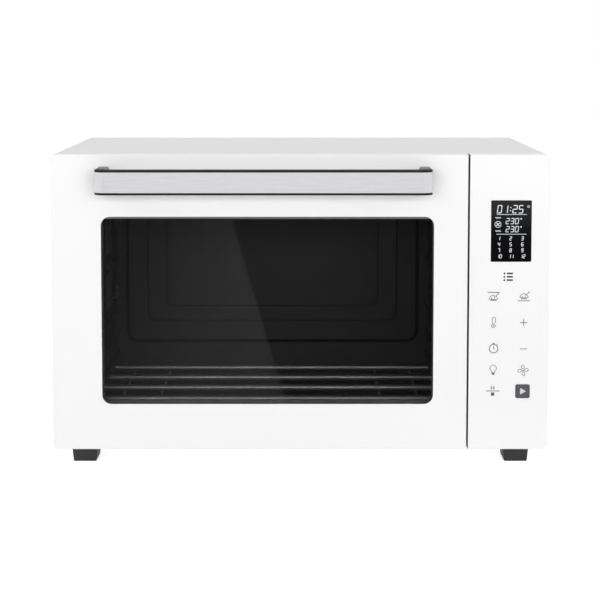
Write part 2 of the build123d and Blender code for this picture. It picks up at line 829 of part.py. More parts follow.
# Spit drive socket: a round boss with a square pocket, on the gearmotor's shaft
socket_tip_x = cavity_x1 - socket_reach
socket_back_x = cavity_x1 + sheet + socket_tail
with BuildPart() as spit_socket:
    with BuildSketch(facing_right(socket_tip_x)):
        with Locations((spit_y, spit_z)):
            Circle(socket_radius)
    extrude(amount=socket_back_x - socket_tip_x)
    chamfer(spit_socket.faces().sort_by(Axis.X)[0].edges(), socket_edge)
    with BuildSketch(facing_right(socket_tip_x)):
        with Locations((spit_y, spit_z)):
            Rectangle(socket_square, socket_square)
    extrude(amount=socket_reach, mode=Mode.SUBTRACT)
    with BuildSketch(facing_right(socket_back_x)):
        with Locations((spit_y, spit_z)):
            Circle(socket_shaft_radius)
    extrude(amount=socket_shaft_length)
save(spit_socket, "spit_socket")

# Spit gearmotor: a round can on a mounting bridge, bolted to the outside of the right wall
spit_motor_x = socket_back_x + fit
with BuildPart() as spit_motor:
    with BuildSketch(facing_right(spit_motor_x)):
        with Locations((spit_y, spit_z)):
            Circle(spit_motor_radius)
    extrude(amount=spit_motor_length)
    with BuildSketch(facing_right(spit_motor_x)):
        with Locations((spit_y, spit_z)):
            Rectangle(bridge_width, bridge_length)
    extrude(amount=bridge_sheet)
    with BuildSketch(facing_right(spit_motor_x)):
        with Locations((spit_y, spit_z)):
            with GridLocations(0, bridge_length - bridge_width, 1, 2):
                Rectangle(2 * bridge_boss_radius, 2 * bridge_boss_radius)
    extrude(amount=-(spit_motor_x - cavity_x1 - sheet))
    with BuildSketch(facing_right(spit_motor_x)):
        with Locations((spit_y, spit_z)):
            Circle(socket_shaft_radius + pin_clearance)
    extrude(amount=socket_shaft_length + fit, mode=Mode.SUBTRACT)
save(spit_motor, "spit_motor")

# Fan dish: the pressed chamber outside the right wall in which the convection fan turns
dish_x = cavity_x1 + sheet
with BuildPart() as fan_dish:
    with BuildSketch(facing_right(dish_x)):
        with Locations((fan_y, fan_z)):
            Circle(dish_radius + dish_flange)
    extrude(amount=sheet)
    with BuildSketch(facing_right(dish_x)):
        with Locations((fan_y, fan_z)):
            Circle(dish_radius + sheet)
    extrude(amount=dish_depth)
    with BuildSketch(facing_right(dish_x)):
        with Locations((fan_y, fan_z)):
            Circle(dish_radius)
    extrude(amount=dish_depth - sheet, mode=Mode.SUBTRACT)
    with BuildSketch(facing_right(dish_x + dish_depth)):
        with Locations((fan_y, fan_z)):
            Circle(fan_shaft_radius + shaft_hole_gap)
    extrude(amount=-2 * sheet, mode=Mode.SUBTRACT)
    chamfer(fan_dish.edges().filter_by(GeomType.CIRCLE).sort_by(Axis.X)[-2], 2 * sheet)
save(fan_dish, "fan_dish")


def blade_ring(hub_x, hub_radius, hub_length, radius, count, width, twist, thickness):
    """A fan wheel: a hub with straight blades set at an angle round it."""
    with BuildPart() as wheel:
        with BuildSketch(facing_right(hub_x)):
            with Locations((fan_y, fan_z)):
                Circle(hub_radius)
        extrude(amount=hub_length)
        blade = Rot(0, 0, twist) * Box(width, thickness, radius - hub_radius + blade_root, mode=Mode.PRIVATE)
        lifted = Pos(0, 0, (radius + hub_radius - blade_root) / 2) * blade
        for turn in range(count):
            placed = Pos(hub_x + hub_length / 2, fan_y, fan_z) * Rot(turn * 360 / count, 0, 0) * lifted
            add(placed)
        with BuildSketch(facing_right(hub_x)):
            with Locations((fan_y, fan_z)):
                Circle(fan_shaft_radius)
        extrude(amount=hub_length, mode=Mode.SUBTRACT)
    return wheel


# Convection fan inside the dish, and the cooling fan at the far end of the same shaft
fan_x = dish_x + fan_side_gap
fan_hub_length = dish_depth - sheet - 2 * fan_side_gap
convection_fan = blade_ring(fan_x, fan_hub_radius, fan_hub_length, fan_radius, fan_blades, fan_blade_width,
                            fan_twist, fan_sheet)
save(convection_fan, "convection_fan")

motor_x = dish_x + dish_depth + motor_stand
cooler_x = motor_x + motor_length + fan_side_gap
cooling_fan = blade_ring(cooler_x, fan_hub_radius, cooler_hub_length, cooler_radius, cooler_blades,
                         cooler_blade_width, cooler_twist, fan_sheet)
save(cooling_fan, "cooling_fan")

# Fan shaft through the motor
with BuildPart() as fan_shaft:
    with BuildSketch(facing_right(fan_x)):
        with Locations((fan_y, fan_z)):
            Circle(fan_shaft_radius)
    extrude(amount=cooler_x + cooler_hub_length - fan_x)
save(fan_shaft, "fan_shaft")

# Fan motor: a round can with bearing bosses, stood off the dish on four legs
with BuildPart() as fan_motor:
    with BuildSketch(facing_right(motor_x)):
        with Locations((fan_y, fan_z)):
            Circle(motor_radius)
    extrude(amount=motor_length)
    chamfer(fan_motor.edges().filter_by(GeomType.CIRCLE), motor_edge)
    with BuildSketch(facing_right(motor_x)):
        with Locations((fan_y, fan_z)):
            with PolarLocations(motor_radius - leg_inset, 4, start_angle=45):
                Rectangle(2 * leg_radius, 2 * leg_radius)
    extrude(amount=-motor_stand)
    with BuildSketch(facing_right(motor_x)):
        with Locations((fan_y, fan_z)):
            Circle(fan_shaft_radius + pin_clearance)
    extrude(amount=motor_length, mode=Mode.SUBTRACT)
save(fan_motor, "fan_motor")

# Oven lamp: a box outside the right wall, a bulb in it and a glass pane flush with the wall
lamp_x = cavity_x1 + sheet
with BuildPart() as lamp_box:
    with BuildSketch(facing_right(lamp_x)):
        with Locations((lamp_y, lamp_z)):
            Rectangle(lamp_size + 2 * lamp_rim, lamp_size + 2 * lamp_rim)
    extrude(amount=sheet)
    with BuildSketch(facing_right(lamp_x)):
        with Locations((lamp_y, lamp_z)):
            Rectangle(lamp_size + 2 * sheet, lamp_size + 2 * sheet)
    extrude(amount=lamp_box_depth)
    with BuildSketch(facing_right(lamp_x)):
        with Locations((lamp_y, lamp_z)):
            Rectangle(lamp_size, lamp_size)
    extrude(amount=lamp_box_depth - sheet, mode=Mode.SUBTRACT)
save(lamp_box, "lamp_box")

with BuildPart() as lamp_glass:
    with BuildSketch(facing_right(cavity_x1)):
        with Locations((lamp_y, lamp_z)):
            RectangleRounded(lamp_size - 2 * fit, lamp_size - 2 * fit, lamp_corner - fit)
    extrude(amount=lens_thickness)
save(lamp_glass, "lamp_glass")

with BuildPart() as lamp_bulb:
    with BuildSketch(facing_right(lamp_x + lamp_box_depth - sheet)):
        with Locations((lamp_y, lamp_z)):
            Circle(bulb_radius)
    extrude(amount=-bulb_length)
    chamfer(lamp_bulb.faces().sort_by(Axis.X)[0].edges(), bulb_taper)
save(lamp_bulb, "lamp_bulb")

# Temperature probe: a thin rod through the right wall with a seated collar outside
with BuildPart() as temperature_probe:
    with BuildSketch(facing_right(cavity_x1 - probe_reach)):
        with Locations((probe_y, probe_z)):
            Circle(probe_radius)
    extrude(amount=probe_reach + sheet + probe_tail)
    with BuildSketch(facing_right(cavity_x1 + sheet)):
        with Locations((probe_y, probe_z)):
            Circle(probe_collar_radius)
    extrude(amount=probe_tail / 2)
save(temperature_probe, "temperature_probe")

# Control panel: a moulded front, open behind, with a window for the display and a shallow key recess
with BuildPart() as control_panel:
    with BuildSketch(facing_front(frame_y)):
        with Locations((panel_x, middle_z)):
            Rectangle(panel_width, fascia_height)
    extrude(amount=frame_y - front_y)
    fillet(control_panel.edges().filter_by(Axis.Y).group_by(Axis.X)[-1], corner_radius)
    fillet(control_panel.faces().sort_by(Axis.Y)[0].edges(), edge_round)
    with BuildSketch(facing_front(frame_y)):
        with Locations((panel_x, middle_z)):
            RectangleRounded(panel_width - 2 * panel_wall, fascia_height - 2 * panel_wall, panel_inner_radius)
    extrude(amount=frame_y - front_y - panel_wall, mode=Mode.SUBTRACT)
    with BuildSketch(facing_front(front_y)):
        with Locations((display_x, display_z)):
            RectangleRounded(display_width, display_height, display_radius)
    extrude(amount=-2 * panel_wall, mode=Mode.SUBTRACT)
    with BuildSketch(facing_front(front_y)):
        with Locations((key_x, key_z)):
            RectangleRounded(key_width, key_height, key_radius)
    extrude(amount=-key_thickness, mode=Mode.SUBTRACT)
save(control_panel, "control_panel")

with BuildPart() as start_key:
    with BuildSketch(facing_front(front_y)):
        with Locations((key_x, key_z)):
            RectangleRounded(key_width - 2 * key_gap, key_height - 2 * key_gap, key_radius - key_gap)
    extrude(amount=-key_thickness)
save(start_key, "start_key")

# Display: a tinted lens set in the window, with the display module seated behind it
with BuildPart() as display_lens:
    with BuildSketch(facing_front(front_y + lens_recess)):
        with Locations((display_x, display_z)):
            RectangleRounded(display_width - 2 * key_gap, display_height - 2 * key_gap,
                             display_radius - key_gap)
    extrude(amount=-(panel_wall - lens_recess))
save(display_lens, "display_lens")

with BuildPart() as display_module:
    with BuildSketch(facing_front(front_y + panel_wall)):
        with Locations((display_x, display_z)):
            Rectangle(display_width + 2 * module_rim, display_height + 2 * module_rim)
    extrude(amount=-module_depth)
save(display_module, "display_module")

# Touch board: the circuit board pressed against the back of the panel under the display
board_top = display_z - display_height / 2 - module_rim - board_gap
board_bottom = base_z + board_up
with BuildPart() as touch_board:
    with BuildSketch(facing_front(front_y + panel_wall)):
        with Locations((panel_x, (board_top + board_bottom) / 2)):
            Rectangle(board_width, board_top - board_bottom)
    extrude(amount=-board_thickness)
    with BuildSketch(facing_front(front_y + panel_wall + board_thickness)):
        with Locations((panel_x, (board_top + board_bottom) / 2)):
            with GridLocations(0, chip_pitch, 1, 3):
                Rectangle(chip_size, chip_size)
    extrude(amount=-chip_height)
save(touch_board, "touch_board")

# Power board: on four posts over the base, with its transformer, relays and terminals
power_x = (cavity_x1 + sheet + case_inside_x) / 2
power_z = base_z + sheet + power_stand
with BuildPart() as power_board:
    with BuildSketch(Plane.XY.offset(power_z)):
        with Locations((power_x, power_y)):
            Rectangle(power_width, power_length)
    extrude(amount=board_thickness)
    with BuildSketch(Plane.XY.offset(power_z)):
        with Locations((power_x, power_y)):
            with GridLocations(power_width - 2 * power_post_inset, power_length - 2 * power_post_inset, 2, 2):
                Rectangle(2 * power_post_radius, 2 * power_post_radius)
    extrude(amount=-power_stand)
    with BuildSketch(Plane.XY.offset(power_z + board_thickness)):
        with Locations((power_x - transformer_left, power_y - transformer_forward)):
            Rectangle(transformer_width, transformer_length)
    extrude(amount=transformer_height)
    with BuildSketch(Plane.XY.offset(power_z + board_thickness)):
        with Locations((power_x, power_y + relay_back)):
            with GridLocations(relay_pitch, 0, 3, 1):
                Rectangle(relay_width, relay_length)
    extrude(amount=relay_height)
save(power_board, "power_board")

# Feet: four tapered rubber blocks under the base
foot_y0 = front_y + foot_front + foot_depth / 2
foot_y1 = back_y - foot_front - foot_depth / 2
foot_x = fascia_width / 2 - foot_inset - foot_width / 2
with BuildPart() as feet:
    with BuildSketch(Plane.XY.offset(base_z)) as foot_tops:
        with Locations((0, (foot_y0 + foot_y1) / 2)):
            with GridLocations(2 * foot_x, foot_y1 - foot_y0, 2, 2):
                Rectangle(foot_width, foot_depth)
        chamfer(foot_tops.vertices(), foot_chamfer)
    extrude(amount=-foot_height, taper=foot_slope)
save(feet, "feet")

# Rear spacers: two pegs that keep the oven off a wall
with BuildPart() as rear_spacers:
    with BuildSketch(facing_front(back_y)):
        with Locations((0, base_z + fascia_height - spacer_down)):
            with GridLocations(2 * spacer_x, 0, 2, 1):
                Circle(spacer_radius)
    extrude(amount=-spacer_length)
    chamfer(rear_spacers.faces().sort_by(Axis.Y)[-2:].edges(), spacer_edge)
save(rear_spacers, "rear_spacers")

# Mains inlet bush: a flanged ring in the rear panel
with BuildPart() as inlet_bush:
    with BuildSketch(facing_front(back_y)):
        with Locations((inlet_x, base_z + inlet_up)):
            Circle(inlet_radius + inlet_flange)
    extrude(amount=-inlet_flange_thickness)
    with BuildSketch(facing_front(back_y)):
        with Locations((inlet_x, base_z + inlet_up)):
            Circle(inlet_radius)
    extrude(amount=sheet + inlet_neck)
    with BuildSketch(facing_front(back_y + inlet_flange_thickness)):
        with Locations((inlet_x, base_z + inlet_up)):
            Circle(inlet_bore_radius)
    extrude(amount=inlet_flange_thickness + sheet + inlet_neck, mode=Mode.SUBTRACT)
save(inlet_bush, "inlet_bush")

# Rear screws: flat heads round the rear panel's edge
with BuildPart() as rear_screws:
    with BuildSketch(facing_front(back_y)):
        with Locations((0, middle_z)):
            with GridLocations(rear_screw_x, fascia_height - 2 * rear_screw_inset, 3, 2):
                Circle(screw_head_radius)
    extrude(amount=-screw_head_height)
save(rear_screws, "rear_screws")
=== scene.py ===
# %% [markdown]
# A mini oven in a white studio
# This lesson dresses a countertop oven whose construction is already fixed. The frame holds every panel,
# pane, tube and screw at its real place, in metres. What is left for Blender is how each of them looks:
# enamel, smoked glass, brushed steel, the printed touch symbols and the studio round it.

import math

import bmesh
import bpy
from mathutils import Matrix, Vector


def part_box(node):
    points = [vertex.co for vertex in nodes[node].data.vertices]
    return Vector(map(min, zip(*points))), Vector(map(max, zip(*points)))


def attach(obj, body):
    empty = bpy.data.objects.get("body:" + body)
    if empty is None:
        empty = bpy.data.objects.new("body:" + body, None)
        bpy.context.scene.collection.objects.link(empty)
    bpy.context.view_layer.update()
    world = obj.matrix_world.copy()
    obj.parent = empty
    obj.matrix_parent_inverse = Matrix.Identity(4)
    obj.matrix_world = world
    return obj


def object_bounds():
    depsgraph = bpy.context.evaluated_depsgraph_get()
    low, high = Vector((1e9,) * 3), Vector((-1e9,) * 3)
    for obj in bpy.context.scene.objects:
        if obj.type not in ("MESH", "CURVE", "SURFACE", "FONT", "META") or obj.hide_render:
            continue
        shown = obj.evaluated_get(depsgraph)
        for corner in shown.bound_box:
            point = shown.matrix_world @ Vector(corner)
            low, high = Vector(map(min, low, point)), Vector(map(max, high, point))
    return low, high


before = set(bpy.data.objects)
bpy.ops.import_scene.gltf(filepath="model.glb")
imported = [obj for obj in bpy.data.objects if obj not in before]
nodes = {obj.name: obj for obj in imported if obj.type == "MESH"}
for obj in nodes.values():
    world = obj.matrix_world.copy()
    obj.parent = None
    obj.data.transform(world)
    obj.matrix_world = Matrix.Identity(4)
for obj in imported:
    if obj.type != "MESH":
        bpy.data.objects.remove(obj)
cad_low, cad_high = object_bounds()
MM = 0.001
print("frame loaded:", len(nodes), "nodes, size", [round(v, 3) for v in cad_high - cad_low])

# %% [markdown]
# A shader is a graph of nodes, and most finishes here need the same start: a Principled shader whose uniform
# values are typed straight on its sockets, where an export finds them again. Three small helpers save a lot
# of typing: one makes the material, one adds a node with its values, and one links two nodes.

# %% A material and its nodes
def new_material(name, colour, roughness, metallic=0.0, **sockets):
    """A material with one Principled shader, and its uniform values set on the shader's own sockets."""
    material = bpy.data.materials.new(name)
    material.use_nodes = True
    shader = material.node_tree.nodes["Principled BSDF"]
    shader.inputs["Base Color"].default_value = (*colour, 1.0)
    shader.inputs["Roughness"].default_value = roughness
    shader.inputs["Metallic"].default_value = metallic
    for socket, value in sockets.items():
        shader.inputs[socket.replace("_", " ")].default_value = value
    return material, shader


def add_node(material, kind, **values):
    """A node of one kind, with attributes and input values set by name."""
    node = material.node_tree.nodes.new(kind)
    for key, value in values.items():
        if key in node.inputs:
            node.inputs[key].default_value = value
        else:
            setattr(node, key, value)
    return node


def link(material, source, target):
    material.node_tree.links.new(source, target)


print("helpers for nodes ready")

# %% [markdown]
# No real surface is one value all over. A noise texture gives the slow or fine variation that the eye looks
# for. It is read in object space, because the pieces have no UV maps and object space is already in metres,
# so a scale of 400 means grains of about two millimetres and a half. Two more helpers map its grey to a range
# of values, or to a mix of two colours.

# %% Noise, ranges and tints
def grain(material, scale, stretch=(1, 1, 1), detail=3.0, rough=0.55):
    """A noise texture read in object space, stretched along some axes. Its output runs from 0 to 1."""
    place = add_node(material, "ShaderNodeTexCoord")
    squeeze = add_node(material, "ShaderNodeMapping")
    squeeze.inputs["Scale"].default_value = stretch
    noise = add_node(material, "ShaderNodeTexNoise", Scale=scale, Detail=detail, Roughness=rough)
    link(material, place.outputs["Object"], squeeze.inputs["Vector"])
    link(material, squeeze.outputs["Vector"], noise.inputs["Vector"])
    return noise.outputs["Fac"]


def span(material, value, low, high, source_low=0.3, source_high=0.7):
    """Maps a grey value to a range, which is how one noise drives roughness, tint or height."""
    ramp = add_node(material, "ShaderNodeMapRange")
    ramp.inputs["From Min"].default_value = source_low
    ramp.inputs["From Max"].default_value = source_high
    ramp.inputs["To Min"].default_value = low
    ramp.inputs["To Max"].default_value = high
    link(material, value, ramp.inputs["Value"])
    return ramp.outputs["Result"]


def tint(material, value, dark, light):
    """Mixes two colours by a grey value."""
    mix = add_node(material, "ShaderNodeMix", data_type="RGBA")
    mix.inputs["A"].default_value = (*dark, 1.0)
    mix.inputs["B"].default_value = (*light, 1.0)
    link(material, value, mix.inputs["Factor"])
    return mix.outputs["Result"]


print("helpers for variation ready")

# %% [markdown]
# The front is a flat, very even white. On the real door it is enamel baked on steel: almost no texture, a
# broad soft sheen, and a faint orange peel that only shows where a lamp grazes it. The peel is far too fine
# to model, so a bump node bends the surface normal instead. Pure white would clip under studio light, so the
# colour stays a little under it, and a slow noise moves the roughness by a hundredth. The case behind the
# front is the same enamel, made a shade greyer as painted shade, so that its top comes out darker than the
# front.

# %% White enamel of the door and the case
def bump(material, shader, height, distance, strength):
    """Turns a height into a bend of the surface normal, with its depth given in metres."""
    node = add_node(material, "ShaderNodeBump", Strength=strength, Distance=distance)
    link(material, height, node.inputs["Height"])
    link(material, node.outputs["Normal"], shader.inputs["Normal"])


def dress(material, *names):
    """Gives frame nodes a material."""
    for name in names:
        mesh = nodes[name].data
        mesh.materials.clear()
        mesh.materials.append(material)
    print(material.name, "on", ", ".join(names))


def enamel(name, colour, roughness):
    material, shader = new_material(name, colour, roughness, Specular_IOR_Level=0.4)
    slow = grain(material, 14.0)
    link(material, span(material, slow, roughness - 0.012, roughness + 0.012), shader.inputs["Roughness"])
    link(material, tint(material, slow, [c * 0.998 for c in colour], colour), shader.inputs["Base Color"])
    peel = grain(material, 900.0, detail=1.0)
    bump(material, shader, peel, 0.00002, 0.5)
    return material


front_white = (0.94, 0.94, 0.94)
door_white = enamel("door_enamel", front_white, 0.34)
# The case's greyer white is painted shade: the same enamel as the front, darkened so its top reads less lit.
case_white = enamel("case_enamel", (0.83, 0.83, 0.83), 0.42)
dress(door_white, "door_panel")
dress(case_white, "outer_case")

# %% [markdown]
# The panel beside the door is a moulding in the same white, and a little smoother. Between it and the door is
# a gap of a millimetre and a half, dark all the way in. The light in this studio is so soft that it would
# fill the gap, so the panel's left side is painted near black: painted shade for the gap. A mask does that:
# one coordinate of the surface is turned into 0 on that side and 1 everywhere else, and the colour is mixed
# by it. The same mask, with other limits, will paint borders and bands further on.

# %% White moulding of the control panel
def axis_of(material, node_kind, output, axis):
    """One coordinate of a place or of a normal, X, Y or Z."""
    source = add_node(material, node_kind)
    axes = add_node(material, "ShaderNodeSeparateXYZ")
    link(material, source.outputs[output], axes.inputs["Vector"])
    return axes.outputs[axis]


def rise(material, value, start, blend):
    """A mask that is 0 up to a limit, and 1 past it by the width of the blend."""
    return span(material, value, 0, 1, start, start + blend)


def recolour(material, where, colour):
    """Where a mask is 1 the base colour keeps its own tint, and where it is 0 it turns to another one."""
    shader = material.node_tree.nodes["Principled BSDF"]
    own = shader.inputs["Base Color"].links[0].from_socket
    mix = add_node(material, "ShaderNodeMix", data_type="RGBA")
    mix.inputs["A"].default_value = (*colour, 1.0)
    link(material, own, mix.inputs["B"])
    link(material, where, mix.inputs["Factor"])
    link(material, mix.outputs["Result"], shader.inputs["Base Color"])


near_black = (0.01, 0.01, 0.01)
panel_low, panel_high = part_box("control_panel")
side_depth = 0.35 * MM
panel_white = enamel("panel_moulding", front_white, 0.3)
panel_across = axis_of(panel_white, "ShaderNodeTexCoord", "Object", "X")
# The panel's left side is painted near black: painted shade for the gap beside the door.
recolour(panel_white, rise(panel_white, panel_across, panel_low.x + side_depth, 0.1 * MM), near_black)
dress(panel_white, "control_panel")

# %% [markdown]
# Smoked glass. Light has to enter the cavity, touch the back wall and come out again, and a refracting shader
# would make that slow and noisy. A pane this thin hardly bends light, so each face is a mirror coat over a
# tint that lets a share of the light straight through. What it holds back is the alpha, and light crosses two
# faces per pane. Along the top of the window the outer pane has an opaque grey strip that lets nothing
# through: a painted highlight for the light caught on the glass's top edge.

# %% Door glass
def pane(name, alpha, colour, roughness=0.0, refraction=1.5):
    """A thin pane: each face is a mirror coat over a tint, and the rest of the light goes straight on."""
    material, shader = new_material(name, colour, roughness, Alpha=alpha, IOR=refraction)
    smudge = grain(material, 9.0, detail=2.0)
    link(material, span(material, smudge, roughness, roughness + 0.006), shader.inputs["Roughness"])
    return material


smoke = (0.006, 0.006, 0.007)
smoke_alpha = 0.30
top_edge_highlight_grey = (0.085, 0.085, 0.085)
top_edge_highlight_bottom = 0.2740
top_edge_highlight_blend = 0.3 * MM
smoked = pane("smoked_glass", smoke_alpha, smoke, refraction=1.9)
smoked_shader = smoked.node_tree.nodes["Principled BSDF"]
glass_height = axis_of(smoked, "ShaderNodeTexCoord", "Object", "Z")
# The opaque grey strip above this height is a painted highlight on the top edge of the glass.
top_edge_highlight = rise(smoked, glass_height, top_edge_highlight_bottom - top_edge_highlight_blend, top_edge_highlight_blend)
link(smoked, tint(smoked, top_edge_highlight, smoke, top_edge_highlight_grey), smoked_shader.inputs["Base Color"])
link(smoked, span(smoked, top_edge_highlight, smoke_alpha, 1.0, 0.0, 1.0), smoked_shader.inputs["Alpha"])
clear = pane("clear_glass", 0.10, smoke)
dress(smoked, "outer_door_glass")
dress(clear, "inner_door_glass", "lamp_glass")

# %% [markdown]
# Brushed steel. The strip on the handle was drawn past an abrasive belt, so its scratches run along X only. A
# noise squeezed to long thin streaks drives roughness, tint and a very shallow bump together, and that keeps
# the streaks, the sheen and the colour in step, as they are on the real metal.

# %% Brushed steel of the handle's strip
def brushed(name, colour, roughness, along=(1, 1, 1), scale=600.0, depth=0.00001, metallic=1.0,
            darkest=0.88):
    material, shader = new_material(name, colour, roughness, metallic=metallic)
    streak = grain(material, scale, stretch=along, detail=4.0)
    dark = [c * darkest for c in colour]
    link(material, span(material, streak, roughness - 0.07, roughness + 0.1), shader.inputs["Roughness"])
    link(material, tint(material, streak, dark, colour), shader.inputs["Base Color"])
    bump(material, shader, streak, depth, 0.6)
    return material


strip_steel = brushed("strip_steel", (0.61, 0.61, 0.625), 0.42, along=(0.06, 1, 1), scale=520.0,
                      metallic=0.25, darkest=0.72)
dress(strip_steel, "handle_strip")

# %% [markdown]
# The strip is wrapped round the ends of the bar, and there its colour is a painted highlight, a little
# lighter than the flat face. Its two long edges are lacquered black. The bends are found by the direction in
# which
# the surface faces: squared, it counts left and right alike. The edges are found by height. Two masks
# multiplied keep only what both of them keep.

# %% Bends and edges of the strip
def fall(material, value, end, blend):
    """The opposite mask: 1 at first, and 0 from a limit on."""
    return span(material, value, 1, 0, end - blend, end)


def multiply(material, first, second):
    node = add_node(material, "ShaderNodeMath", operation="MULTIPLY")
    link(material, first, node.inputs[0])
    link(material, second, node.inputs[1])
    return node.outputs["Value"]


bend_highlight_grey = (0.69, 0.69, 0.705)
lacquer_width = 0.8 * MM
lacquer_blend = 0.2 * MM
strip_low, strip_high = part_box("handle_strip")
strip_facing = axis_of(strip_steel, "ShaderNodeNewGeometry", "True Normal", "X")
strip_height = axis_of(strip_steel, "ShaderNodeTexCoord", "Object", "Z")
flat = fall(strip_steel, multiply(strip_steel, strip_facing, strip_facing), 0.08, 0.08)
under_top = fall(strip_steel, strip_height, strip_high.z - lacquer_width, lacquer_blend)
over_foot = rise(strip_steel, strip_height, strip_low.z + lacquer_width, lacquer_blend)
# The bends get a painted highlight: a lighter grey than the flat face.
recolour(strip_steel, flat, bend_highlight_grey)
recolour(strip_steel, multiply(strip_steel, under_top, over_foot), near_black)
print("strip face", round((strip_high.z - strip_low.z) / MM, 1), "mm high")

# %% [markdown]
# The handle's body, the posts and the feet are moulded. A moulding has a fine spark-eroded grain, far too
# small to see as bumps from a step away, but it breaks up the highlight, so black plastic never looks like
# paint.

# %% Mouldings and rubber
def moulding(name, colour, roughness, grain_size=1400.0, depth=0.00004, mirror=0.4):
    material, shader = new_material(name, colour, roughness, Specular_IOR_Level=mirror)
    fine = grain(material, grain_size, detail=2.0)
    link(material, span(material, fine, roughness - 0.05, roughness + 0.08), shader.inputs["Roughness"])
    link(material, tint(material, fine, [c * 0.8 for c in colour], colour), shader.inputs["Base Color"])
    bump(material, shader, fine, depth, 0.5)
    return material


black_plastic = moulding("black_moulding", (0.008, 0.008, 0.009), 0.55, mirror=0.12)
post_grey = moulding("post_moulding", (0.10, 0.10, 0.105), 0.4)
key_grey = moulding("key_grey", (0.085, 0.085, 0.095), 0.35)
foot_rubber = moulding("foot_rubber", (0.021, 0.021, 0.021), 0.62, grain_size=700.0, depth=0.0001)
seal_rubber = moulding("seal_silicone", (0.05, 0.05, 0.052), 0.55)
dress(black_plastic, "handle_bar", "inlet_bush", "rear_spacers")
dress(post_grey, "handle_posts")
dress(key_grey, "start_key")
dress(foot_rubber, "feet")
dress(seal_rubber, "door_seal")

# %% [markdown]
# Inside the oven the sheet is coated dark: a satin charcoal with a slow mottling. The back wall is pressed in
# steps, and their slopes get painted shade: the coat is darker where the sheet turns away from the door.

# %% Cavity coating
def coated(name, colour):
    roughness = 0.42
    material, shader = new_material(name, colour, roughness, metallic=0.3, Specular_IOR_Level=0.5)
    mottle = grain(material, 22.0, detail=5.0)
    link(material, span(material, mottle, roughness - 0.06, roughness + 0.1), shader.inputs["Roughness"])
    link(material, tint(material, mottle, [c * 0.8 for c in colour], colour), shader.inputs["Base Color"])
    fine = grain(material, 1600.0, detail=1.0)
    bump(material, shader, fine, 0.00001, 0.4)
    return material


charcoal = (0.11, 0.11, 0.112)
slope_shade = (0.008, 0.008, 0.008)
cavity_coat = coated("cavity_coating", charcoal)
dress(cavity_coat, "cavity_right_wall", "cavity_roof", "cavity_floor", "spit_socket")

back_coat = coated("back_wall_coating", (0.085, 0.085, 0.087))
back_facing = axis_of(back_coat, "ShaderNodeNewGeometry", "True Normal", "Y")
# Painted shade: the slopes of the pressed steps are darker where they turn away from the door.
recolour(back_coat, rise(back_coat, multiply(back_coat, back_facing, back_facing), 0.6, 0.3), slope_shade)
dress(back_coat, "cavity_back_wall")

# %% [markdown]
# The left wall carries a painted highlight: a paler upright band, broken where a shelf rib stands out. The
# band is a product of masks along the depth and the height, and the two parts over and under the rib are
# added.

# %% The painted highlight band on the left wall
wall_highlight_grey = (0.38, 0.38, 0.38)
highlight_front, highlight_back, side_blend = 0.030, 0.096, 0.002
highlight_bottom, rib_bottom, rib_top, end_blend = 0.142, 0.200, 0.208, 0.004
wall_coat = coated("left_wall_coating", charcoal)
wall_depth = axis_of(wall_coat, "ShaderNodeTexCoord", "Object", "Y")
wall_height = axis_of(wall_coat, "ShaderNodeTexCoord", "Object", "Z")
depth_mask = multiply(wall_coat, rise(wall_coat, wall_depth, highlight_front, side_blend),
                      fall(wall_coat, wall_depth, highlight_back, side_blend))
off_the_rib = add_node(wall_coat, "ShaderNodeMath", operation="ADD")
link(wall_coat, fall(wall_coat, wall_height, rib_bottom, end_blend), off_the_rib.inputs[0])
link(wall_coat, rise(wall_coat, wall_height, rib_top, end_blend), off_the_rib.inputs[1])
height_mask = multiply(wall_coat, rise(wall_coat, wall_height, highlight_bottom, end_blend),
                       off_the_rib.outputs["Value"])
band = multiply(wall_coat, depth_mask, height_mask)
# The band is a painted highlight, paler than the coat.
recolour(wall_coat, fall(wall_coat, band, 1.0, 1.0), wall_highlight_grey)
dress(wall_coat, "cavity_left_wall")

# %% [markdown]
# The heating tubes have been hot many times and have lost their shine in long streaks. The crumb tray under
# them is thin sheet, stained evenly by heat. Both are brushed steel with other values.

# %% Heating tubes and crumb tray
tube_steel = brushed("tube_steel", (0.74, 0.74, 0.74), 0.42, along=(0.05, 1, 1), scale=1200.0,
                     depth=0.0000005, metallic=0.9)
dress(tube_steel, "lower_heating_tubes", "upper_heating_tubes", "tube_guards", "temperature_probe")
tray_steel = brushed("tray_steel", (0.17, 0.17, 0.175), 0.55, scale=30.0, depth=0.0000005)
dress(tray_steel, "crumb_tray")

# %% [markdown]
# The rest of the sheet metal is bare. Galvanised sheet has spangle: patches a few millimetres wide that catch
# the light differently. A cell pattern gives those patches, and each cell gets its own grey.

# %% Galvanised sheet, inner steel and plated screws
def galvanised(name, colour, roughness, spangle=190.0):
    material, shader = new_material(name, colour, roughness, metallic=0.85)
    place = add_node(material, "ShaderNodeTexCoord")
    cells = add_node(material, "ShaderNodeTexVoronoi", Scale=spangle)
    link(material, place.outputs["Object"], cells.inputs["Vector"])
    grey = add_node(material, "ShaderNodeRGBToBW")
    link(material, cells.outputs["Color"], grey.inputs["Color"])
    link(material, tint(material, grey.outputs["Val"], [c * 0.8 for c in colour], colour),
         shader.inputs["Base Color"])
    link(material, span(material, grey.outputs["Val"], roughness - 0.08, roughness + 0.1, 0.0, 1.0),
         shader.inputs["Roughness"])
    return material


zinc = galvanised("galvanised_sheet", (0.55, 0.56, 0.57), 0.42)
dress(zinc, "front_frame", "rear_panel", "base_plate", "fan_dish", "lamp_box")

inner_steel = brushed("inner_steel", (0.5, 0.5, 0.51), 0.35, scale=300.0)
dress(inner_steel, "door_inner_frame", "glass_spacer", "hinge_cheeks", "hinge_brackets", "spit_motor",
      "fan_motor")

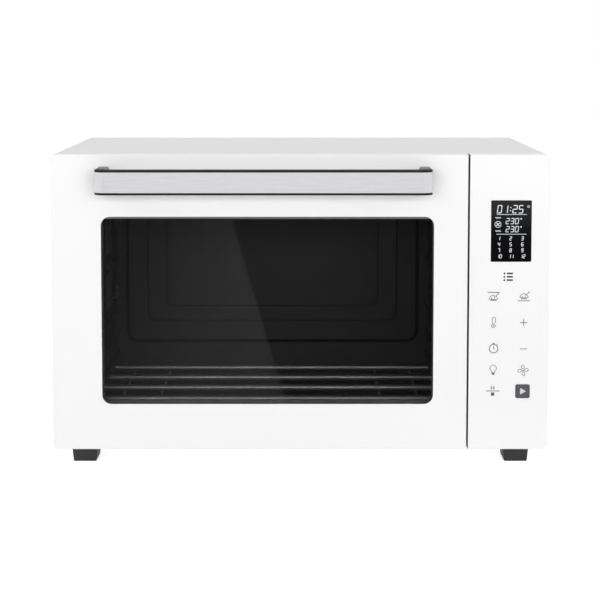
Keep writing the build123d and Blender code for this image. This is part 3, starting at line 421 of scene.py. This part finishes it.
plated = brushed("plated_steel", (0.66, 0.66, 0.67), 0.25, scale=900.0)
dress(plated, "handle_screws", "rear_screws", "hinge_pins", "hinge_springs", "fan_shaft", "spit_hook",
      "convection_fan", "cooling_fan")

# %% [markdown]
# Ceramic caps, the bulb, the display and the boards finish the list. The boards are hidden in use, but a
# lesson that leaves them grey teaches the wrong habit, so they get their solder-mask green.

# %% Ceramic, bulb, display and boards
ceramic = moulding("steatite", (0.74, 0.71, 0.66), 0.25, grain_size=300.0, depth=0.00002)
dress(ceramic, "lower_tube_caps", "upper_tube_caps")

bulb = pane("bulb_glass", 0.6, (0.75, 0.73, 0.66), roughness=0.25)
dress(bulb, "lamp_bulb")

display_black = enamel("display_black", (0.003, 0.003, 0.004), 0.08)
dress(display_black, "display_lens")

board = moulding("solder_mask", (0.03, 0.16, 0.07), 0.3)
dress(board, "display_module", "touch_board", "power_board")

# %% [markdown]
# Now the print on the panel. Each symbol is a thin flat piece that stands a few hundredths of a millimetre
# proud, as ink does, so it stays sharp at any distance. They are drawn in the panel's own plane: u runs to
# the right and v up, both in millimetres from the middle of the symbol. A drawing is a list of closed
# outlines, and these few tools draw all of them.

# %% Drawing tools for flat print
def arc(cu, cv, radius, start, end, steps):
    """Points on a circle from one angle to another, in degrees."""
    turn = [math.radians(start + (end - start) * i / steps) for i in range(steps + 1)]
    return [(cu + radius * math.cos(a), cv + radius * math.sin(a)) for a in turn]


def stroke(points, width):
    """A closed outline round an open line of points, with its ends cut square."""
    left, right = [], []
    for i, (u, v) in enumerate(points):
        before = Vector(points[max(i - 1, 0)])
        after = Vector(points[min(i + 1, len(points) - 1)])
        along = (after - before).normalized()
        across = Vector((-along.y, along.x)) * width / 2
        left.append((u + across.x, v + across.y))
        right.append((u - across.x, v - across.y))
    return left + right[::-1]


def ring(cu, cv, radius, width, start=0.0, end=360.0):
    """A band along a circle."""
    return stroke(arc(cu, cv, radius, start, end, 32), width)


def bar(u0, v0, u1, v1, width):
    """A straight band from one point to another."""
    return stroke([(u0, v0), (u1, v1)], width)


def disc(cu, cv, radius):
    return arc(cu, cv, radius, 0, 345, 23)


print("drawing tools ready, a disc has", len(disc(0, 0, 1)), "corners")

# %% [markdown]
# An outline becomes a piece when it is stood on the front and given its thickness: one face behind, one in
# front, and a narrow wall round the edge. Faces with many corners are cut into triangles, because a hollow
# outline such as a ring is not a shape that every program fills in the same way.

# %% From outlines to a printed piece
ink_thickness = 0.06 * MM


def print_on(name, outlines, material, place, y):
    """One flat piece from closed outlines of (u, v) in millimetres, round a place on the front."""
    mesh = bpy.data.meshes.new(name)
    shape = bmesh.new()
    for outline in outlines:
        low = [shape.verts.new((place[0] + u * MM, y, place[1] + v * MM)) for u, v in outline]
        high = [shape.verts.new((point.co.x, y - ink_thickness, point.co.z)) for point in low]
        count = len(outline)
        shape.faces.new(high)
        shape.faces.new(low[::-1])
        for i in range(count):
            j = (i + 1) % count
            shape.faces.new((low[i], low[j], high[j], high[i]))
    bmesh.ops.recalc_face_normals(shape, faces=shape.faces)
    bmesh.ops.triangulate(shape, faces=[f for f in shape.faces if len(f.verts) > 4])
    shape.to_mesh(mesh)
    shape.free()
    piece = bpy.data.objects.new(name, mesh)
    bpy.context.scene.collection.objects.link(piece)
    mesh.materials.append(material)
    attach(piece, "oven")
    return piece


print("ink stands", round(ink_thickness / MM, 2), "mm proud")

# %% [markdown]
# The touch symbols sit in two columns under the display. Their places are read from the photograph as pixels
# of its 600 pixel frame, and one function turns a pixel on the front face into metres, because the front is a
# plane and the camera looked at it square on.

# %% Where a pixel lies on the front
front_left_px = 51.0
front_right_px = 549.0
front_bottom_px = 451.0
mm_per_px = (panel_high.x - cad_low.x) / (front_right_px - front_left_px)


def on_front(px, py):
    """Metres (x, z) on the front face for a pixel of the photograph."""
    return cad_low.x + (px - front_left_px) * mm_per_px, panel_low.z + (front_bottom_px - py) * mm_per_px


print("one pixel is", round(mm_per_px / MM, 3), "mm on the front")

# %% [markdown]
# The ink is flat: it has no relief, and only its gloss varies from grain to grain. Grey ink serves for the
# touch symbols, black for the menu mark, and white for the mark on the grey key.

# %% Inks
def ink(name, colour, roughness, glossiest, dullest, scale, **sockets):
    material, shader = new_material(name, colour, roughness, **sockets)
    fine = grain(material, scale, detail=1.0)
    link(material, span(material, fine, glossiest, dullest), shader.inputs["Roughness"])
    return material


ink_grey = ink("print_grey", (0.07, 0.07, 0.075), 0.45, 0.4, 0.52, 2500.0)
ink_black = moulding("print_black", (0.02, 0.02, 0.022), 0.45, grain_size=2500.0, depth=0.000005)
ink_white = moulding("print_white", (0.78, 0.78, 0.79), 0.45, grain_size=2500.0, depth=0.000005)
print("inks:", ink_grey.name, ink_black.name, ink_white.name)

# %% [markdown]
# Every symbol is a pictogram: a list, a roast under or over a heating line, a thermometer, plus and minus, a
# stopwatch, a bulb, a fan, and the common marks for pause, stop and start. Thin outlines are bands along a
# line, so the same drawing tools serve for all of them. Two of the drawings need some reckoning.

# %% The roast and the fan
fine_line = 0.64
body_line = 0.8
bold_line = 1.8


def roast(lift):
    """A roast on its dish: a domed body with its wing, a leg that points up to the right, and the dish."""
    dome = arc(-0.4, -1.6 + lift, 4.1, 178, 62, 14)
    leg = [(1.2, -1.2 + lift), (1.0, 1.0 + lift), (2.2, 1.9 + lift), (3.6, 0.4 + lift), (4.4, -1.4 + lift)]
    wing = arc(-1.0, -0.6 + lift, 1.5, 150, 330, 10)
    shank = bar(2.6, 1.6 + lift, 4.9, 4.2 + lift, fine_line)
    return [stroke(dome, fine_line), stroke(leg, fine_line), stroke(wing, fine_line), shank,
            disc(5.0, 4.3 + lift, 0.65), bar(-5.0, -1.9 + lift, 4.6, -1.9 + lift, fine_line),
            bar(-3.4, -3.0 + lift, 3.2, -3.0 + lift, body_line)]


def blades():
    """Four rounded fan blades in outline, set a little askew as on a real rotor."""
    drawn = [disc(0, 0, 0.8)]
    for quarter in range(4):
        turn = math.radians(14 + 90 * quarter)
        loop = []
        for i in range(17):
            a = 2 * math.pi * i / 16
            u, v = 1.55 * math.cos(a) + 0.5, 3.6 + 2.1 * math.sin(a)
            loop.append((u * math.cos(turn) - v * math.sin(turn), u * math.sin(turn) + v * math.cos(turn)))
        drawn.append(stroke(loop, fine_line))
    return drawn


print("a roast takes", len(roast(0)), "outlines, a fan", len(blades()))

# %% [markdown]
# The other symbols are short lists of bars, rings and discs. They are kept as data, apart from the loop that
# prints them, so that a drawing is easy to change.

# %% Drawings of the other symbols
menu = []
for row in (3.6, 0.0, -3.6):
    menu += [disc(-4.2, row, 1.05), bar(-1.6, row, 5.0, row, bold_line)]

thermometer = [
    stroke(arc(0.6, 3.8, 1.8, 0, 180, 12) + [(-1.2, -1.2)], fine_line),
    bar(2.4, 3.8, 2.4, -0.6, fine_line),
    ring(0.0, -3.6, 2.1, fine_line, 55, 415), disc(0.0, -3.6, 0.85),
]
stopwatch = [
    ring(0, 0, 4.6, 0.9), bar(0, 0.2, 0, 2.8, body_line), bar(0, 0.2, 1.1, -0.6, body_line),
    bar(-1.4, 5.9, 1.4, 5.9, 0.9), bar(3.5, 4.1, 4.3, 4.9, body_line),
]
bulb_mark = [
    ring(0, 1.5, 3.5, fine_line, -50, 230),
    bar(-2.2, -1.2, -1.3, -3.0, fine_line), bar(2.2, -1.2, 1.3, -3.0, fine_line),
    bar(-1.6, -3.4, 1.6, -3.4, body_line), bar(-1.6, -4.5, 1.6, -4.5, 1.2),
    bar(-0.9, -5.4, 0.9, -5.4, body_line),
]
pause_stop = [
    bar(-1.3, 1.6, -1.3, 5.2, 1.1), bar(1.3, 1.6, 1.3, 5.2, 1.1), bar(-7.6, 0.0, 7.6, 0.0, body_line),
    [(-1.8, -5.2), (1.8, -5.2), (1.8, -1.6), (-1.8, -1.6)],
]
minus = [bar(-3.8, 0, 3.8, 0, body_line)]
plus = minus + [bar(0, -3.8, 0, 3.8, body_line)]
print("drawn:", len(thermometer), len(stopwatch), len(bulb_mark), len(pause_stop), "outlines")

# %% [markdown]
# A real panel is printed in one pass, all symbols through one screen. Here each symbol is its own piece, so
# that it can be named and moved by itself. The list gives a name, a place in pixels and the drawing, and the
# two roasts get their heating line here: one over the dish, one under it.

# %% Touch symbols beside the door
symbols = [
    ("symbol_menu", (507.5, 276.0), menu),
    ("symbol_top_heat", (493.0, 296.4), roast(-0.6) + [bar(-6.6, 5.1, 6.6, 5.1, body_line)]),
    ("symbol_bottom_heat", (523.6, 295.2), roast(-0.2) + [bar(-6.6, -5.4, 6.6, -5.4, body_line)]),
    ("symbol_temperature", (493.0, 322.0), thermometer),
    ("symbol_plus", (523.4, 322.2), plus),
    ("symbol_time", (493.5, 348.6), stopwatch),
    ("symbol_minus", (523.5, 348.8), minus),
    ("symbol_light", (493.3, 369.8), bulb_mark),
    ("symbol_fan", (523.4, 370.5), blades()),
    ("symbol_pause_stop", (493.0, 391.5), pause_stop),
]
for name, (px, py), outlines in symbols:
    colour = ink_black if name == "symbol_menu" else ink_grey
    print_on(name, outlines, colour, on_front(px, py), panel_low.y)
print(len(symbols), "symbols on the panel")

# %% [markdown]
# The grey key carries a white start mark. Its face stands off the panel, so its height is asked for and not
# guessed.

# %% Start mark on the key
def middle(low, high):
    """The middle (x, z) of a box seen from the front."""
    return (low.x + high.x) / 2, (low.z + high.z) / 2


key_low, key_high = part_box("start_key")
start_mark = [(-2.6, -3.6), (3.9, 0.0), (-2.6, 3.6)]
print_on("symbol_start", [start_mark], ink_white, middle(key_low, key_high), key_low.y)
print("start key", round((key_high.x - key_low.x) / MM, 1), "mm wide")

# %% [markdown]
# A seven segment figure is seven bars, of which some are lit, and the whole figure leans to the right. Each
# segment is named by a letter, as in a maker's drawing: a on top, then clockwise, with g in the middle. The
# lit ones glow by themselves, so their material gives light and needs none.

# %% Seven segment figures
glow = ink("display_glow", (0.02, 0.02, 0.02), 0.4, 0.35, 0.45, 3000.0,
           Emission_Color=(0.86, 0.88, 0.95, 1.0), Emission_Strength=1.0)
segments = {"0": "abcdef", "1": "bc", "2": "abged", "3": "abgcd", "4": "fgbc", "5": "afgcd", "6": "afgedc",
            "7": "abc", "8": "abcdefg", "9": "abcdfg"}
ends = {"a": (0, 2, 1, 2), "b": (1, 2, 1, 1), "c": (1, 1, 1, 0), "d": (0, 0, 1, 0), "e": (0, 1, 0, 0),
        "f": (0, 2, 0, 1), "g": (0, 1, 1, 1)}


def digit(figure, u, v, wide, high, width, lean=0.12, length=0.93):
    """One seven-segment figure with its lower left corner at (u, v)."""
    lit = []
    for segment in segments[figure]:
        u0, v0, u1, v1 = ends[segment]
        points = []
        for pu, pv in ((u0, v0), (u1, v1)):
            lift = pv * high / 2
            points.append((u + pu * wide + lean * lift, v + lift))
        centre = Vector(points[0]).lerp(Vector(points[1]), 0.5)
        points = [tuple(centre.lerp(Vector(point), length)) for point in points]
        lit.append(stroke(points, width))
    return lit


def number(text, u, v, wide, high, width, pitch):
    """Several figures in a row, and a colon where the text has one."""
    drawn = []
    for figure in text:
        if figure == ":":
            drawn += [disc(u + wide * 0.3, v + high * 0.3, width * 0.7),
                      disc(u + wide * 0.4, v + high * 0.72, width * 0.7)]
            u += pitch * 0.55
        else:
            drawn += digit(figure, u, v, wide, high, width)
            u += pitch
    return drawn


print("figures", "".join(segments), "ready")

# %% [markdown]
# The display shows a clock with a small ring beside it, and under it two readings in degrees between thin
# lines. The figures are placed from the middle of the lens, and their sizes are width, height, stroke and
# pitch in millimetres.

# %% Clock and readings
lens_low, lens_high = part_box("display_lens")
lens_centre = middle(lens_low, lens_high)
clock_size = (4.2, 8.0, 0.85, 6.5)
reading_size = (3.2, 5.9, 0.64, 5.0)
small_size = (1.9, 3.7, 0.55, 2.9)


def on_lens(px, py):
    """Millimetres from the lens's middle, for a pixel of the photograph."""
    x, z = on_front(px, py)
    return (x - lens_centre[0]) / MM, (z - lens_centre[1]) / MM


def show(name, outlines):
    print_on(name, outlines, glow, lens_centre, lens_low.y)
    print(name, "of", len(outlines), "outlines")


clock = number("01:25", *on_lens(495.9, 212.0), *clock_size)
clock.append(ring(*on_lens(527.0, 205.6), 1.1, 0.4))
show("display_clock", clock)

readings = []
for py in (222.9, 231.0):
    u, v = on_lens(504.6, py)
    readings += number("230", u, v, *reading_size)
    readings.append(ring(u + 16.4, v + 5.4, 0.7, 0.4))
for py in (213.6, 233.3):
    u, v = on_lens(510.2, py)
    readings.append(bar(u - 16.2, v, u + 16.2, v, 0.45))
show("display_readings", readings)

# %% [markdown]
# Left of the readings stand a fan in a ring and a heating coil over and under it, and below them plain
# numbers in rows stand for the programmes.

# %% Small marks and programme numbers
marks = []
for py in (216.9, 230.1):
    u, v = on_lens(496.9, py)
    wave = [(u - 2.9 + 5.8 * i / 16, v + 0.7 * math.sin(i * math.pi / 2)) for i in range(17)]
    marks.append(stroke(wave, 0.5))
u, v = on_lens(496.7, 223.5)
marks += [ring(u, v, 3.3, 0.5), disc(u, v, 0.7)]
for a in (0.5, 2.07, 3.64, 5.21):
    root_u, root_v = u + 0.8 * math.cos(a), v + 0.8 * math.sin(a)
    tip_u, tip_v = u + 2.5 * math.cos(a + 0.3), v + 2.5 * math.sin(a + 0.3)
    marks.append(bar(root_u, root_v, tip_u, tip_v, 0.8))
show("display_marks", marks)

programmes = []
for row, py in enumerate((239.2, 245.2, 251.2, 257.2)):
    for column, px in enumerate((497.6, 509.3, 521.0)):
        text = str(1 + 3 * row + column)
        u, v = on_lens(px, py)
        programmes += number(text, u - 0.9 * len(text), v, *small_size)
show("display_programmes", programmes)

# %% [markdown]
# The photograph looks down on the case from a long way off, and the front still stands as a true rectangle.
# That is what a shifted lens does: the camera hardly tilts, and the picture is slid instead. A small tilt
# shared with a small shift gives nearly the same picture and keeps the object in the frame of other views.

# %% Camera
camera_data = bpy.data.cameras.new("studio_camera")
camera = bpy.data.objects.new("studio_camera", camera_data)
bpy.context.scene.collection.objects.link(camera)
bpy.context.scene.camera = camera
camera.location = (-0.0024, -2.0957, 0.4619)
camera_tilt = math.radians(5.28)
camera.rotation_euler = (math.radians(90) - camera_tilt, 0, 0)
camera_data.lens = 107.96
camera_data.sensor_width = 36
camera_data.shift_x = 0.0031
camera_data.shift_y = -0.15
bpy.context.scene.view_settings.view_transform = "Standard"
print("camera", [round(v, 3) for v in camera.location], "lens", camera_data.lens)

# %% [markdown]
# The studio is a white floor under soft white light. To the camera the floor is plain white, and mirrors and
# glass see the same white. Everything else sees an ordinary pale floor, so the bounce onto the oven's
# underside stays believable. A light path node tells these rays apart, and the same choice serves for the
# floor and for the world behind it.

# %% One look for the camera and another for the light
white = (1, 1, 1, 1)


def split_rays(owner, usual, seen, output):
    """Shows one shader to the camera, to mirrors and through glass, and the usual one to all else."""
    rays = add_node(owner, "ShaderNodeLightPath")
    seen_ray = rays.outputs["Is Camera Ray"]
    for kind in ("Is Glossy Ray", "Is Transmission Ray"):
        either = add_node(owner, "ShaderNodeMath", operation="MAXIMUM")
        link(owner, seen_ray, either.inputs[0])
        link(owner, rays.outputs[kind], either.inputs[1])
        seen_ray = either.outputs["Value"]
    choice = add_node(owner, "ShaderNodeMixShader")
    link(owner, seen_ray, choice.inputs["Fac"])
    link(owner, usual, choice.inputs[1])
    link(owner, seen, choice.inputs[2])
    link(owner, choice.outputs["Shader"], owner.node_tree.nodes[output].inputs["Surface"])


ambient_strength = 0.36
world = bpy.data.worlds.new("studio_world")
bpy.context.scene.world = world
world.use_nodes = True
ambient = world.node_tree.nodes["Background"]
ambient.inputs["Color"].default_value = white
ambient.inputs["Strength"].default_value = ambient_strength
backdrop = add_node(world, "ShaderNodeBackground", Color=white, Strength=1.0)
split_rays(world, ambient.outputs[0], backdrop.outputs[0], "World Output")
print("world ready, ambient", ambient_strength)

# %% [markdown]
# The floor that the camera sees is the ordinary floor plus a light of its own. That light is weaker near the
# oven, so the oven's soft shadow stays on it, and full a little further out, where the floor has to melt into
# the white behind.

# %% Floor
def flat_piece(name, corners, height, material):
    """A flat face over the floor that is part of the studio and not of the oven."""
    mesh = bpy.data.meshes.new(name)
    mesh.from_pydata([(x, y, height) for x, y in corners], [], [tuple(range(len(corners)))])
    mesh.materials.append(material)
    made = bpy.data.objects.new(name, mesh)
    bpy.context.scene.collection.objects.link(made)
    return made


floor_side = 9.0
shadow_reach, white_reach = 0.5, 1.3
floor_material, floor_shader = new_material("studio_floor", (0.92, 0.92, 0.92), 0.9, Specular_IOR_Level=0.0)
floor_speck = grain(floor_material, 3.0)
link(floor_material, tint(floor_material, floor_speck, (0.915, 0.915, 0.915), (0.925, 0.925, 0.925)),
     floor_shader.inputs["Base Color"])
floor_light = add_node(floor_material, "ShaderNodeEmission", Color=white)
floor_place = add_node(floor_material, "ShaderNodeTexCoord")
floor_distance = add_node(floor_material, "ShaderNodeVectorMath", operation="LENGTH")
link(floor_material, floor_place.outputs["Object"], floor_distance.inputs[0])
floor_glow = span(floor_material, floor_distance.outputs["Value"], 0.7, 1.0, shadow_reach, white_reach)
link(floor_material, floor_glow, floor_light.inputs["Strength"])
floor_seen = add_node(floor_material, "ShaderNodeAddShader")
link(floor_material, floor_shader.outputs["BSDF"], floor_seen.inputs[0])
link(floor_material, floor_light.outputs["Emission"], floor_seen.inputs[1])
split_rays(floor_material, floor_shader.outputs["BSDF"], floor_seen.outputs["Shader"], "Material Output")
floor_corners = [(-floor_side, -floor_side), (floor_side, -floor_side), (floor_side, floor_side),
                 (-floor_side, floor_side)]
floor = flat_piece("studio_floor", floor_corners, 0.0, floor_material)
print(floor.name, "is", 2 * floor_side, "m wide")

# %% [markdown]
# Four large lamps light the oven: a wide one in front and above, one on each side, and one overhead that
# reaches the back. Large lamps make soft shadows, and their strength is set so that the white front comes out
# just below white.

# %% Lamps
lamps = [  # name, place, target, size in metres, watts
    ("front_lamp", (0.0, -3.0, 0.72), (0, 0, 0.17), (3.0, 0.6), 42),
    ("left_lamp", (-2.4, -0.6, 1.6), (0, 0, 0.15), (1.4, 1.4), 14),
    ("right_lamp", (2.4, -0.4, 1.6), (0, 0, 0.15), (1.4, 1.4), 13),
    ("top_lamp", (0.0, 0.6, 2.6), (0, 0, 0.3), (1.8, 1.8), 12),
]
for name, place, target, size, watts in lamps:
    light = bpy.data.lights.new(name, "AREA")
    light.shape = "RECTANGLE"
    light.size, light.size_y = size
    light.energy = watts
    made = bpy.data.objects.new(name, light)
    made.location = place
    made.rotation_euler = (Vector(target) - Vector(place)).to_track_quat("-Z", "Y").to_euler()
    bpy.context.scene.collection.objects.link(made)
    print(name, watts, "W")

# %% [markdown]
# A photographer lays cards on the table in front of a glass door, so that the glass mirrors something calm.
# The same is done here, with cards that only mirrors see. A wide dark card lies before the oven. A paler card
# on its left has a slanted edge, which draws the soft diagonal reflection across the window, and it darkens
# towards the left, as the reflection does. A bright card lies beyond them, where the glass and the handle
# would mirror the far floor.

# %% Cards for the glass
fade_left, fade_right = -0.34, -0.12


def card(name, corners, height, shade, fade=0.0):
    """A flat card over the floor that only mirrors see. A fade makes it darker towards the left."""
    material, shader = new_material(name, (0, 0, 0), 1.0, Specular_IOR_Level=0.0,
                                    Emission_Color=(shade, shade, shade, 1.0), Emission_Strength=1.0)
    across = axis_of(material, "ShaderNodeTexCoord", "Object", "X")
    link(material, span(material, across, 1.0 - fade, 1.0, fade_left, fade_right),
         shader.inputs["Emission Strength"])
    made = flat_piece(name, corners, height, material)
    made.visible_camera = False
    made.visible_diffuse = False
    made.visible_shadow = False
    made.visible_transmission = False
    print(name, "shade", shade)


side = 3.0
card_near, card_far, bright_far = -0.42, -2.915, -4.6
edge_near, edge_far = -0.013, -0.177
card_height, pale_height = 4 * MM, 6 * MM
card("dark_card", [(-side, card_far), (side, card_far), (side, card_near), (-side, card_near)],
     card_height, 0.02)
card("pale_card", [(-side, card_far), (edge_far, card_far), (edge_near, card_near), (-side, card_near)],
     pale_height, 0.27, fade=0.6)
card("bright_card", [(-side, bright_far), (side, bright_far), (side, card_far), (-side, card_far)],
     card_height, 0.85)
